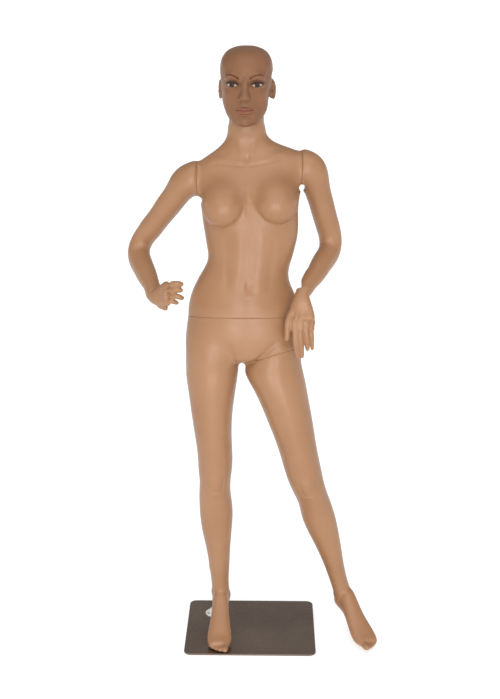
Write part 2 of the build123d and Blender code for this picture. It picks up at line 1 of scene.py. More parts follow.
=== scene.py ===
"""Looks of the full body mannequin: moulded skins, painted face, steel stand and a plain studio.

Metres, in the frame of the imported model: +Z up, the figure faces -Y, its left side is at +X.
Every skin is modelled as digital clay. The clay starts from the CAD shells, is smoothed, gets its
anatomy from blobs and creases, and is then cut at the same seams as the real figure.
"""

import json
import math

import bmesh
import bpy
import numpy as np
import openvdb
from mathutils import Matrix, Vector


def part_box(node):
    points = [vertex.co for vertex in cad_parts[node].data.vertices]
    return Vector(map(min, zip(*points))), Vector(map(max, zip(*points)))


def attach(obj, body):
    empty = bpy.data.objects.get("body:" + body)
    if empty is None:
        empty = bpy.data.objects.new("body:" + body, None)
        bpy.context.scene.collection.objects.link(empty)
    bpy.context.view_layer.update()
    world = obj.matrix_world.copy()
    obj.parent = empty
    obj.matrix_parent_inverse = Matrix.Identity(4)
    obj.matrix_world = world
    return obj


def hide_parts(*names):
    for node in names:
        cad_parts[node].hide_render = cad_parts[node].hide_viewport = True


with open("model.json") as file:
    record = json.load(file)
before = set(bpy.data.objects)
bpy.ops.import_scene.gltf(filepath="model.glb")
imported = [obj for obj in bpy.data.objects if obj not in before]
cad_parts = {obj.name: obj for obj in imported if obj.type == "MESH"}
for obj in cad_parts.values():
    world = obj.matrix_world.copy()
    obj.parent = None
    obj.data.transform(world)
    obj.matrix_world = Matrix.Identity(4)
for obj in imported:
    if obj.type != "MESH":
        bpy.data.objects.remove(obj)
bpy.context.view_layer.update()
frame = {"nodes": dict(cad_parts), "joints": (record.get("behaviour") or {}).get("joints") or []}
MM = 0.001

# ---------------------------------------------------------------- seams and rod, as in the CAD
JOINTS = {joint["name"]: joint for joint in frame["joints"]}
SEAM_GAP = 0.25 * MM
WAIST_POINT = np.array(JOINTS["waist_twist"]["pos_m"])
WAIST_NORMAL = np.array(JOINTS["waist_twist"]["axis"])
NECK_POINT = np.array(JOINTS["head_turn"]["pos_m"])
RIGHT_SHOULDER = np.array(JOINTS["right_shoulder"]["pos_m"])
LEFT_SHOULDER = np.array(JOINTS["left_shoulder"]["pos_m"])
RIGHT_WRIST = np.array(JOINTS["right_wrist"]["pos_m"])
LEFT_WRIST = np.array(JOINTS["left_wrist"]["pos_m"])
#   the planes at the shoulders cut the torso only above this height
SHOULDER_FLOOR = 1.28
LEG_SEAM_POINT = np.array((-0.027, -0.020, 0.856))
LEG_SEAM_NORMAL = np.array((-0.315, 0.215, 1.0))
NECK_RADIUS = 0.048
ROD_FOOT = np.array((-0.117, 0.082, 0.006))
ROD_HEAD = np.array((-0.103, 0.020, 0.352))


def unit(vector):
    """The same direction, one long."""
    vector = np.asarray(vector, float)
    return vector / np.linalg.norm(vector)


LEG_SEAM_NORMAL = unit(LEG_SEAM_NORMAL)
LEG_WALL_NORMAL = unit(np.array((1.0, 0, 0)) - LEG_SEAM_NORMAL * LEG_SEAM_NORMAL[0])


# ---------------------------------------------------------------- clay
#   a Gaussian is followed for this many of its own widths
GAUSSIAN_REACH = 2.6


def shell_polygons(nodes):
    """Points and triangles of several CAD nodes together."""
    points = []
    triangles = []
    count = 0
    for name in nodes:
        mesh = frame["nodes"][name].data
        mesh.calc_loop_triangles()
        co = np.zeros(len(mesh.vertices) * 3, np.float32)
        mesh.vertices.foreach_get("co", co)
        tri = np.zeros(len(mesh.loop_triangles) * 3, np.int32)
        mesh.loop_triangles.foreach_get("vertices", tri)
        points.append(co.reshape(-1, 3))
        triangles.append(tri.reshape(-1, 3) + count)
        count += len(mesh.vertices)
    return np.vstack(points), np.vstack(triangles).astype(np.uint32)


#   corners are numbered by their x, y and z, low then high
CUBE_TRIANGLES = [(0, 1, 3), (0, 3, 2), (4, 6, 7), (4, 7, 5), (0, 4, 5), (0, 5, 1),
                  (2, 3, 7), (2, 7, 6), (0, 2, 6), (0, 6, 4), (1, 5, 7), (1, 7, 3)]


class Clay:
    """Signed distances on a regular grid, negative inside, filled solid."""

    BAND = 7            # distances are known this many voxels either side of the surface
    PAD = 6             # empty voxels round the shells
    MARGIN = 3          # voxels that a tool reaches past its own shape

    def __init__(self, nodes, voxel, low=None, high=None, plugs=()):
        """Fill the CAD nodes' shells. plugs are cubes, as centre and half width, that close a hole."""
        points, triangles = shell_polygons(nodes)
        for centre, radius in plugs:
            corners = np.array([[i, j, k] for i in (-1, 1) for j in (-1, 1) for k in (-1, 1)]) * radius
            sides = np.array(CUBE_TRIANGLES) + len(points)
            points = np.vstack((points, corners + centre)).astype(np.float32)
            triangles = np.vstack((triangles, sides)).astype(np.uint32)
        self.voxel = voxel
        pad = self.PAD * voxel
        low = points.min(0) - pad if low is None else np.array(low)
        high = points.max(0) + pad if high is None else np.array(high)
        self.first = np.floor(low / voxel).astype(int)
        shape = np.ceil(high / voxel).astype(int) - self.first
        grid = openvdb.FloatGrid.createLevelSetFromPolygons(
            points, triangles=triangles, transform=openvdb.createLinearTransform(voxel),
            halfWidth=self.BAND)
        self.field = np.full(shape, self.BAND * voxel, np.float32)
        grid.copyToArray(self.field, ijk=tuple(int(i) for i in self.first))
        axes = [(self.first[i] + np.arange(shape[i])) * voxel for i in range(3)]
        self.axes = [axis.astype(np.float32) for axis in axes]

    def window(self, low, high):
        """Slices and coordinates of the grid between two corners."""
        slices = []
        for axis, a, b in zip(self.axes, low, high):
            start, stop = np.searchsorted(axis, (a, b))
            slices.append(slice(int(start), int(stop)))
        x, y, z = (axis[part] for axis, part in zip(self.axes, slices))
        return tuple(slices), x[:, None, None], y[None, :, None], z[None, None, :]

    def blurred(self, sigma, part):
        """Part of the field, smoothed by a Gaussian of sigma metres."""
        spread = sigma / self.voxel
        reach = int(math.ceil(spread * GAUSSIAN_REACH))
        taps = np.exp(-0.5 * (np.arange(-reach, reach + 1) / spread) ** 2)
        taps = (taps / taps.sum()).astype(np.float32)
        wide = tuple(slice(max(cut.start - reach, 0), cut.stop + reach) for cut in part)
        result = self.field[wide]
        for axis in range(3):
            padding = [(0, 0)] * 3
            padding[axis] = (reach, reach)
            padded = np.pad(result, padding, mode="edge")
            size = result.shape[axis]
            total = np.zeros_like(result)
            for offset, weight in enumerate(taps):
                cut = [slice(None)] * 3
                cut[axis] = slice(offset, offset + size)
                total += weight * padded[tuple(cut)]
            result = total
        inner = tuple(slice(cut.start - far.start, cut.stop - far.start) for cut, far in zip(part, wide))
        return result[inner]

    def smooth(self, sigma, low=(-9, -9, -9), high=(9, 9, 9), where=None):
        """Blur the clay between two corners. where gives the share of the blur at x, y, z."""
        part, x, y, z = self.window(low, high)
        soft = self.blurred(sigma, part)
        if where is None:
            self.field[part] = soft
        else:
            old = self.field[part]
            self.field[part] = old + (soft - old) * where(x, y, z).astype(np.float32)

    def blob(self, centre, radii, blend, turn=None, carve=False):
        """Add, or carve away, an ellipsoid with a soft joint of width blend. turn's rows are its axes."""
        centre = np.asarray(centre, float)
        radii = np.asarray(radii, float)
        reach = radii.max() + blend + self.MARGIN * self.voxel
        part, x, y, z = self.window(centre - reach, centre + reach)
        px, py, pz = np.broadcast_arrays(x - centre[0], y - centre[1], z - centre[2])
        if turn is not None:
            px, py, pz = (axis[0] * px + axis[1] * py + axis[2] * pz for axis in turn)
        near = np.sqrt((px / radii[0]) ** 2 + (py / radii[1]) ** 2 + (pz / radii[2]) ** 2)
        far = np.sqrt((px / radii[0] ** 2) ** 2 + (py / radii[1] ** 2) ** 2 + (pz / radii[2] ** 2) ** 2)
        shape = near * (near - 1) / np.maximum(far, 1e-6)
        self.mix(part, shape, blend, carve)

    def mix(self, part, shape, blend, carve=False):
        """Soft union with a shape's distances, or soft removal of it."""
        old = self.field[part]
        if carve:
            share = np.clip(0.5 - 0.5 * (old + shape) / blend, 0, 1)
            self.field[part] = old + (-shape - old) * share + blend * share * (1 - share)
        else:
            share = np.clip(0.5 + 0.5 * (old - shape) / blend, 0, 1)
            self.field[part] = old + (shape - old) * share - blend * share * (1 - share)

    def rod(self, start, end, radius, blend, carve=False):
        """Add, or carve away, a round bar with rounded ends between two points."""
        start = np.asarray(start, float)
        end = np.asarray(end, float)
        reach = radius + blend + self.MARGIN * self.voxel
        part, x, y, z = self.window(np.minimum(start, end) - reach, np.maximum(start, end) + reach)
        run = end - start
        along = ((x - start[0]) * run[0] + (y - start[1]) * run[1] + (z - start[2]) * run[2]) / (run @ run)
        along = np.clip(along, 0, 1)
        gap = np.sqrt((x - start[0] - along * run[0]) ** 2 + (y - start[1] - along * run[1]) ** 2
                      + (z - start[2] - along * run[2]) ** 2)
        self.mix(part, gap - radius, blend, carve)

    def push(self, centre, radii, amount):
        """Raise the surface by amount, or lower it, with a Gaussian fall-off like a sculpting brush."""
        centre = np.asarray(centre, float)
        radii = np.asarray(radii, float)
        part, x, y, z = self.window(centre - GAUSSIAN_REACH * radii, centre + GAUSSIAN_REACH * radii)
        fall = np.exp(-((x - centre[0]) / radii[0]) ** 2 - ((y - centre[1]) / radii[1]) ** 2
                      - ((z - centre[2]) / radii[2]) ** 2)
        self.field[part] -= amount * fall

    def mesh(self, name):
        """The clay's surface as a Blender mesh of quads."""
        grid = openvdb.FloatGrid(float(self.BAND * self.voxel))
        grid.copyFromArray(np.ascontiguousarray(self.field), ijk=tuple(int(i) for i in self.first))
        points, quads = grid.convertToQuads()
        points = points * self.voxel
        a, b, c = (points[quads[:, i]] for i in range(3))
        if np.einsum("ij,ij->i", a, np.cross(b, c)).sum() < 0:
            quads = quads[:, ::-1]
        mesh = bpy.data.meshes.new(name)
        mesh.vertices.add(len(points))
        mesh.vertices.foreach_set("co", np.ascontiguousarray(points, np.float32).ravel())
        mesh.loops.add(len(quads) * 4)
        mesh.loops.foreach_set("vertex_index", np.ascontiguousarray(quads, np.int32).ravel())
        mesh.polygons.add(len(quads))
        mesh.polygons.foreach_set("loop_start", np.arange(len(quads), dtype=np.int32) * 4)
        mesh.update(calc_edges=True)
        mesh.shade_smooth()
        return mesh


# ---------------------------------------------------------------- cutting clay at the seams
#   a plane takes points nearer than this as lying on it
CUT_TOLERANCE = 0.02 * MM


def cut_piece(name, mesh, planes, keep, seed, groove=0.7 * MM):
    """One closed piece of a mesh: cut at the planes, kept where keep says, the island nearest seed.

    The cut's rim is drawn in by groove, so that the seam shows as a fine line.
    """
    bm = bmesh.new()
    bm.from_mesh(mesh)
    for point, normal in planes:
        bmesh.ops.bisect_plane(bm, geom=bm.verts[:] + bm.edges[:] + bm.faces[:], dist=CUT_TOLERANCE,
                               plane_co=point, plane_no=normal)
    bm.faces.ensure_lookup_table()
    centres = np.array([f.calc_center_median() for f in bm.faces])
    inside = keep(centres)
    gone = [bm.faces[i] for i in np.flatnonzero(~inside)]
    bmesh.ops.delete(bm, geom=gone, context="FACES")
    bm.verts.ensure_lookup_table()
    co = np.array([v.co for v in bm.verts])
    start = bm.verts[int(np.argmin(((co - np.asarray(seed, float)) ** 2).sum(1)))]
    seen = {start}
    stack = [start]
    while stack:
        for edge in stack.pop().link_edges:
            for v in edge.verts:
                if v not in seen:
                    seen.add(v)
                    stack.append(v)
    bmesh.ops.delete(bm, geom=[v for v in bm.verts if v not in seen], context="VERTS")
    bm.normal_update()
    rims = [e for e in bm.edges if len(e.link_faces) == 1]
    rim_verts = {v for e in rims for v in e.verts}
    moves = {v: v.normal.copy() for v in rim_verts}
    for v, normal in moves.items():
        v.co -= normal * groove
    filled = bmesh.ops.holes_fill(bm, edges=rims, sides=0)["faces"]
    for face in filled:
        face.smooth = False
    bmesh.ops.triangulate(bm, faces=filled)
    bmesh.ops.recalc_face_normals(bm, faces=bm.faces[:])
    for edge in rims:
        edge.smooth = False
    cut = bpy.data.meshes.new(name)
    bm.to_mesh(cut)
    bm.free()
    return cut


def side_of(centres, point, normal):
    """How far face centres lie along a plane's normal."""
    return (centres - point) @ normal


def add_piece(name, mesh, material, body, *replaced, slot="skin_plastic"):
    """Put a finished mesh in the scene, riding on its body in place of its CAD nodes."""
    piece = bpy.data.objects.new(name, mesh)
    bpy.context.scene.collection.objects.link(piece)
    piece.data.materials.append(material)
    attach(piece, body)
    if replaced:
        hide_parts(*replaced)
    return piece


# ---------------------------------------------------------------- materials
def new_material(name):
    """A node material, with its node tree and its shader."""
    material = bpy.data.materials.new(name)
    material.use_nodes = True
    tree = material.node_tree
    return material, tree, tree.nodes["Principled BSDF"]


def noise(tree, scale, detail=2.0, stretch=None):
    """A noise texture in object space."""
    place = tree.nodes.new("ShaderNodeTexCoord")
    texture = tree.nodes.new("ShaderNodeTexNoise")
    texture.inputs["Scale"].default_value = scale
    texture.inputs["Detail"].default_value = detail
    if stretch:
        mapping = tree.nodes.new("ShaderNodeMapping")
        mapping.inputs["Scale"].default_value = stretch
        tree.links.new(place.outputs["Object"], mapping.inputs["Vector"])
        tree.links.new(mapping.outputs["Vector"], texture.inputs["Vector"])
    else:
        tree.links.new(place.outputs["Object"], texture.inputs["Vector"])
    return texture.outputs["Fac"]


#   nearly all of a noise texture's values lie between these
NOISE_LOW = 0.3
NOISE_HIGH = 0.7


def ramp(tree, value, low, high):
    """A number or colour that runs from low to high as a noise value goes across its usual span."""
    if isinstance(low, (int, float)):
        node = tree.nodes.new("ShaderNodeMapRange")
        limits = {"From Min": NOISE_LOW, "From Max": NOISE_HIGH, "To Min": low, "To Max": high}
        for label, number in limits.items():
            node.inputs[label].default_value = number
        tree.links.new(value, node.inputs["Value"])
        return node.outputs["Result"]
    node = tree.nodes.new("ShaderNodeValToRGB")
    node.color_ramp.elements[0].position = NOISE_LOW
    node.color_ramp.elements[1].position = NOISE_HIGH
    node.color_ramp.elements[0].color = (*low, 1)
    node.color_ramp.elements[1].color = (*high, 1)
    tree.links.new(value, node.inputs["Fac"])
    return node.outputs["Color"]


def bump(tree, shader, height, strength, distance):
    """Fine relief from a height value."""
    node = tree.nodes.new("ShaderNodeBump")
    node.inputs["Strength"].default_value = strength
    node.inputs["Distance"].default_value = distance
    tree.links.new(height, node.inputs["Height"])
    tree.links.new(node.outputs["Normal"], shader.inputs["Normal"])


SKIN_LOW = (0.276, 0.136, 0.064)
SKIN_HIGH = (0.314, 0.162, 0.082)
FACE_LOW = (0.180, 0.085, 0.042)
FACE_HIGH = (0.208, 0.101, 0.052)
PLATE_LOW = (0.170, 0.122, 0.094)
PLATE_HIGH = (0.225, 0.165, 0.128)
#   attribute on the head's points, colour, in the order they are painted
PAINTS = [
    ("blush", (0.300, 0.120, 0.066)),
    ("eye_shadow", (0.092, 0.042, 0.026)),
    ("lips", (0.205, 0.072, 0.045)),
    # painted shade: a dark line along the crease between the lips
    ("mouth_crease_shade", (0.080, 0.020, 0.013)),
    ("brow", (0.085, 0.026, 0.013)),
    ("eye_white", (0.380, 0.300, 0.240)),
    ("iris", (0.036, 0.013, 0.007)),
    ("pupil", (0.008, 0.006, 0.005)),
    ("lash", (0.020, 0.010, 0.008)),
    # painted highlight: a white spot on each iris in place of a reflected light
    ("painted_highlight", (0.900, 0.880, 0.850)),
]


def skin_material(name, low, high, gloss, painted=False):
    """Semi-gloss moulded plastic with a faint cloudy tint and the softest orange peel."""
    material, tree, shader = new_material(name)
    cloud = noise(tree, 7.0, 3.0)
    colour = ramp(tree, cloud, low, high)
    if painted:
        for attribute, paint in PAINTS:
            mask = tree.nodes.new("ShaderNodeAttribute")
            mask.attribute_name = attribute
            layer = tree.nodes.new("ShaderNodeMix")
            layer.data_type = "RGBA"
            tree.links.new(mask.outputs["Fac"], layer.inputs["Factor"])
            tree.links.new(colour, layer.inputs["A"])
            layer.inputs["B"].default_value = (*paint, 1)
            colour = layer.outputs["Result"]
    tree.links.new(colour, shader.inputs["Base Color"])
    tree.links.new(ramp(tree, noise(tree, 38.0, 4.0), 0.31, 0.39), shader.inputs["Roughness"])
    shader.inputs["Specular IOR Level"].default_value = gloss
    bump(tree, shader, noise(tree, 160.0, 2.0), 0.02, 0.0002)
    return material


def metal_material(name, low, high, rough_low, rough_high, stretch=None):
    """Bare or plated metal with a grain."""
    material, tree, shader = new_material(name)
    grain = noise(tree, 60.0, 5.0, stretch)
    tree.links.new(ramp(tree, grain, low, high), shader.inputs["Base Color"])
    tree.links.new(ramp(tree, grain, rough_low, rough_high), shader.inputs["Roughness"])
    shader.inputs["Metallic"].default_value = 1.0
    bump(tree, shader, grain, 0.03, 0.0002)
    return material


def plate_material():
    """Smoky polished steel: broad soft cloudiness and a fine rolled grain."""
    material, tree, shader = new_material("polished_base_steel")
    cloud = noise(tree, 5.0, 2.0)
    tree.links.new(ramp(tree, cloud, PLATE_LOW, PLATE_HIGH), shader.inputs["Base Color"])
    grain = noise(tree, 90.0, 6.0, (0.06, 1.0, 1.0))
    tree.links.new(ramp(tree, grain, 0.20, 0.32), shader.inputs["Roughness"])
    shader.inputs["Metallic"].default_value = 0.85
    bump(tree, shader, grain, 0.04, 0.0001)
    return material


def plain_material(name, low, high, rough_low, rough_high):
    """Plastic or rubber with a light mottle."""
    material, tree, shader = new_material(name)
    mottle = noise(tree, 120.0, 3.0)
    tree.links.new(ramp(tree, mottle, low, high), shader.inputs["Base Color"])
    tree.links.new(ramp(tree, mottle, rough_low, rough_high), shader.inputs["Roughness"])
    bump(tree, shader, mottle, 0.08, 0.0003)
    return material


skin = skin_material("flesh_plastic", SKIN_LOW, SKIN_HIGH, 0.40)
face_skin = skin_material("painted_face_plastic", FACE_LOW, FACE_HIGH, 0.16, painted=True)
steel = metal_material("zinc_fitting", (0.50, 0.50, 0.51), (0.64, 0.64, 0.65), 0.30, 0.45)
rod_steel = metal_material("plated_rod", (0.66, 0.66, 0.67), (0.76, 0.76, 0.77), 0.12, 0.2, (1, 1, 0.05))
NODE_MATERIALS = {
    "base_plate": plate_material(),
    "base_underlay": plain_material("dark_underlay", (0.012, 0.012, 0.012), (0.03, 0.03, 0.03), 0.7, 0.9),
    "rod_flange": plain_material("white_flange", (0.78, 0.77, 0.75), (0.86, 0.85, 0.84), 0.25, 0.4),
    "support_rod": rod_steel,
}
for node_name, node_object in frame["nodes"].items():
    node_object.data.materials.clear()
    node_object.data.materials.append(NODE_MATERIALS.get(node_name, steel))


# ---------------------------------------------------------------- body skins
def mm(*numbers):
    """Millimetres to metres."""
    return np.array(numbers, float) * MM


def smooth_step(value, low, high):
    """0 below low, 1 above high, soft between."""
    share = np.clip((value - low) / (high - low), 0, 1)
    return share * share * (3 - 2 * share)


def ridge(clay, points, radii, height):
    """A raised line of the given height, or a groove when it is negative, along a run of points."""
    points = [np.array(p, float) for p in points]
    for start, end in zip(points, points[1:]):
        run = end - start
        length = np.linalg.norm(run)
        reach = 1 / np.linalg.norm(run / length / radii)
        steps = max(1, math.ceil(length / (0.55 * reach)))
        share = height * length / steps / (reach * math.sqrt(math.pi))
        for step in range(steps):
            clay.push(start + run * (step + 0.5) / steps, radii, share)


BODY_NODES = ["torso", "lower_body", "left_leg", "right_arm", "left_arm",
              "waist_peg", "waist_socket", "leg_peg", "leg_socket", "neck_socket", "head_peg",
              "right_arm_peg", "left_arm_peg", "right_shoulder_socket", "left_shoulder_socket",
              "right_hand_peg", "left_hand_peg", "right_wrist_socket", "left_wrist_socket"]
BODY_VOXEL = 2.5 * MM
COLLAR_LINES = [
    [(-0.100, 0.002, 1.4225), (-0.060, -0.014, 1.4225), (-0.016, -0.024, 1.4190)],
    [(0.088, 0.002, 1.4400), (0.045, -0.012, 1.4275), (-0.004, -0.024, 1.4190)],
]
UNDER_BUST = [
    [(-0.016, -0.072, 1.318), (-0.026, -0.076, 1.289), (-0.050, -0.076, 1.266), (-0.080, -0.070, 1.255),
     (-0.106, -0.056, 1.264)],
    [(0.002, -0.072, 1.330), (0.016, -0.076, 1.303), (0.044, -0.078, 1.276), (0.078, -0.072, 1.265),
     (0.110, -0.058, 1.276)],
]


GROIN_LINES = [
    ([(-0.033, -0.072, 0.866), (-0.047, -0.088, 0.893), (-0.060, -0.096, 0.925)], (9, 24, 10), -2.2),
    ([(-0.010, -0.070, 0.864), (0.020, -0.084, 0.886), (0.045, -0.092, 0.912),
      (0.070, -0.088, 0.936)], (8, 24, 8), -2.8),
]
SEAT_LINE = [(-0.011, 0.092, 0.985), (-0.013, 0.082, 0.870)]
SPINE_LINE = [(-0.006, 0.108, 1.42), (-0.004, 0.094, 1.28), (-0.010, 0.072, 1.13), (-0.014, 0.078, 1.01)]
HEEL_OF_RIGHT_HAND = mm(-277, -80, 1056)


def soft_share(x, y, z):
    """Where the trunk takes a wide blur: not under the bust, not below the groin, not the arms."""
    trunk = smooth_step(z, 0.80, 0.88) * (1 - smooth_step(z, 1.47, 1.52))
    trunk = trunk * (1 - smooth_step(np.abs(x + 0.005), 0.165, 0.20))
    crease = np.exp(-((z - 1.262) / 0.024) ** 2) * (1 - smooth_step(y, -0.04, 0.0))
    return trunk * (1 - 0.75 * crease)


def chest_share(x, y, z):
    """The upper slope of the bust, which runs softly into the chest."""
    share = smooth_step(z, 1.325, 1.355) * (1 - smooth_step(z, 1.40, 1.43))
    share = share * (1 - smooth_step(y, -0.03, 0.0))
    return share * (1 - smooth_step(np.abs(x + 0.002), 0.125, 0.15))


def calf_plug():
    """Small cubes across the hollow of the calf, just above the hole that the sleeve goes through."""
    step = 5
    half_width = 28
    cubes = []
    for i in range(-5, 6):
        for j in range(-6, 9):
            depth = 41 if j > 0 else 32
            if (i * step / half_width) ** 2 + (j * step / depth) ** 2 <= 1:
                cubes.append((mm(-98 + i * step, 6 + j * step, 265), step * MM))
    return cubes


def groin_share(x, y, z):
    """The front and side of the hip, where the standing thigh runs up into the belly."""
    share = smooth_step(z, 0.82, 0.86) * (1 - smooth_step(z, 0.92, 0.97))
    share = share * (1 - smooth_step(y, -0.03, 0.02))
    return share * (1 - smooth_step(x, -0.055, -0.035))


def body_forms():
    """The filled shells with the fuller forms they lack, blurred so that no step between them shows."""
    # cubes along the rod and across the crotch
    rod_axis = unit(ROD_HEAD - ROD_FOOT)
    plugs = [(ROD_HEAD - rod_axis * step * 10 * MM, 10 * MM) for step in range(13)]
    plugs += [(mm(-21, -44 + step * 12, 868), 10 * MM) for step in range(8)]
    clay = Clay(BODY_NODES, BODY_VOXEL, plugs=plugs + calf_plug())
    # the calf round the sleeve, the neck at its seam, the right hip and the gap between the thighs
    clay.rod((-0.097, 0.008, 0.205), (-0.099, 0.004, 0.275), 29 * MM, 2 * MM)
    clay.rod(NECK_POINT - mm(0, 0, 26), NECK_POINT + mm(0, 0, 30), NECK_RADIUS, 6 * MM)
    clay.blob((-0.113, -0.020, 0.890), mm(70, 76, 112), 16 * MM)
    clay.blob((-0.024, -0.010, 0.852), mm(8, 80, 14), 6 * MM, carve=True)
    # the bust
    slope = unit((0, 0.44, 1.0))
    forward = unit((0, -1.0, 0.44))
    for x, z in ((-0.071, 1.325), (0.069, 1.336)):
        clay.blob((x, -0.038, z), mm(53, 40, 60), 30 * MM, np.array(((1.0, 0, 0), forward, slope)))
    clay.smooth(3.0 * MM)
    clay.smooth(6.5 * MM, (-0.24, -0.2, 0.79), (0.24, 0.2, 1.53), soft_share)
    clay.smooth(16 * MM, (-0.17, -0.2, 1.31), (0.17, 0.02, 1.46), chest_share)
    clay.smooth(11 * MM, (-0.22, -0.14, 0.80), (-0.02, 0.03, 0.99), groin_share)
    return clay


def bust_neck_and_collar(clay):
    """The crease under the bust, the collar bones and the neck's two long muscles."""
    for line in UNDER_BUST:
        ridge(clay, line, mm(5, 30, 5), -1.7 * MM)
    for line in COLLAR_LINES:
        above = [(x, y, z + 0.009) for x, y, z in line]
        far_above = [(x, y + 0.01, z + 0.026) for x, y, z in line[:2]]
        ridge(clay, above, mm(9, 16, 7), 1.1 * MM)
        ridge(clay, far_above, mm(12, 20, 9), -2.2 * MM)
        ridge(clay, line, mm(5, 22, 4.0), -2.2 * MM)
    clay.push((-0.009, -0.018, 1.438), mm(10, 14, 10), -3.0 * MM)
    for side in (-1, 1):
        ridge(clay, [(-0.010 + side * 0.010, -0.018, 1.446), (-0.011 + side * 0.034, 0.004, 1.51)],
              mm(7, 14, 12), 1.2 * MM)


def chest_and_belly(clay):
    """The breastbone, the belly's muscles, the hip bones and the navel."""
    ridge(clay, [(-0.006, -0.066, 1.372), (-0.006, -0.075, 1.285)], mm(7, 16, 14), -1.6 * MM)
    ridge(clay, [(-0.002, -0.076, 1.225), (-0.004, -0.086, 1.125)], mm(6, 16, 14), -1.0 * MM)
    for side in (-1, 1):
        ridge(clay, [(side * 0.031, -0.074, 1.235), (side * 0.029 - 0.005, -0.087, 1.075)],
              mm(17, 18, 18), 1.6 * MM)
        ridge(clay, [(side * 0.066, -0.064, 1.225), (side * 0.058 - 0.007, -0.074, 1.085)],
              mm(10, 18, 18), -1.3 * MM)
        clay.push((-0.012 + side * 0.100, -0.066, 1.018), mm(26, 24, 20), 2.4 * MM)
    clay.push((-0.004, -0.098, 1.0965), mm(8, 18, 15), -6.0 * MM)
    clay.push((-0.004, -0.098, 1.0965), mm(3.0, 18, 6), 1.2 * MM)
    clay.push((-0.004, -0.098, 1.072), mm(12, 16, 7), 1.3 * MM)
    clay.push((-0.006, -0.098, 1.045), mm(48, 26, 30), 1.8 * MM)


def groin_seat_and_back(clay):
    """The folds of the groin and seat, the spine and the shoulder blades."""
    for line, radii, depth in GROIN_LINES:
        ridge(clay, line, mm(*radii), depth * MM)
    ridge(clay, SEAT_LINE, mm(6, 34, 12), -9.0 * MM)
    ridge(clay, SPINE_LINE, mm(9, 22, 14), -2.8 * MM)
    for side, z in ((-1, 1.352), (1, 1.376)):
        clay.push((side * 0.076, 0.100, z), mm(30, 26, 38), 3.5 * MM)
        ridge(clay, [(side * 0.052, 0.10, z + 0.03), (side * 0.060, 0.10, z - 0.04)],
              mm(7, 24, 10), -1.4 * MM)
        clay.push((side * 0.040 - 0.012, 0.080, 1.02), mm(9, 20, 9), -2.2 * MM)
        ridge(clay, [(side * 0.030 - 0.012, 0.09, 0.862), (side * 0.085 - 0.012, 0.085, 0.853)],
              mm(14, 26, 6), -2.6 * MM)


def limbs(clay):
    """Armpits, wrists, knees and ankles."""
    # armpits
    for x, z in ((-144, 1320), (142, 1354)):
        clay.rod(mm(x, -70, z), mm(x, 120, z), 7.5 * MM, 8 * MM, carve=True)
    # wrists
    clay.push(HEEL_OF_RIGHT_HAND, mm(24, 38, 24), 4.5 * MM)
    clay.rod(mm(170, -25, 1114), mm(147, -84, 1081), 15 * MM, 14 * MM)
    # knees and ankles
    for x, y, z, lean in ((-0.105, -0.080, 0.502, 0.0), (0.166, -0.101, 0.499, 0.011)):
        clay.push((x, y, z + 0.008), mm(20, 24, 22), 3.2 * MM)
        clay.push((x + lean, y + 0.006, z - 0.030), mm(13, 22, 8), 1.8 * MM)
        for side in (-1, 1):
            above = (x + side * 0.027, y + 0.01, z + 0.018)
            below = (x + side * 0.022 + lean, y + 0.01, z - 0.020)
            ridge(clay, [above, below], mm(5.5, 22, 9), -1.6 * MM)
        ridge(clay, [(x - 0.016 + lean, y, z - 0.021), (x + 0.016 + lean, y, z - 0.021)],
              mm(7, 22, 4.5), -1.5 * MM)
        ridge(clay, [(x + lean, y + 0.01, z - 0.06), (x + lean * 5, y + 0.04, z - 0.25)],
              mm(7, 22, 14), 1.2 * MM)
    for x, y, z in ((-0.0915, 0.014, 0.113), (0.283, 0.012, 0.115)):
        for side in (-1, 1):
            clay.push((x + side * 0.026, y, z + side * math.copysign(0.004, x)), mm(12, 11, 11), 3.2 * MM)
        clay.push((x, y + 0.040, z + 0.016), mm(9, 20, 34), 2.0 * MM)


def sculpt_body():
    """The whole body as one clay, so that the forms run on across the seams."""
    clay = body_forms()
    for shape in (bust_neck_and_collar, chest_and_belly, groin_seat_and_back, limbs):
        shape(clay)
    return clay.mesh("body_clay")


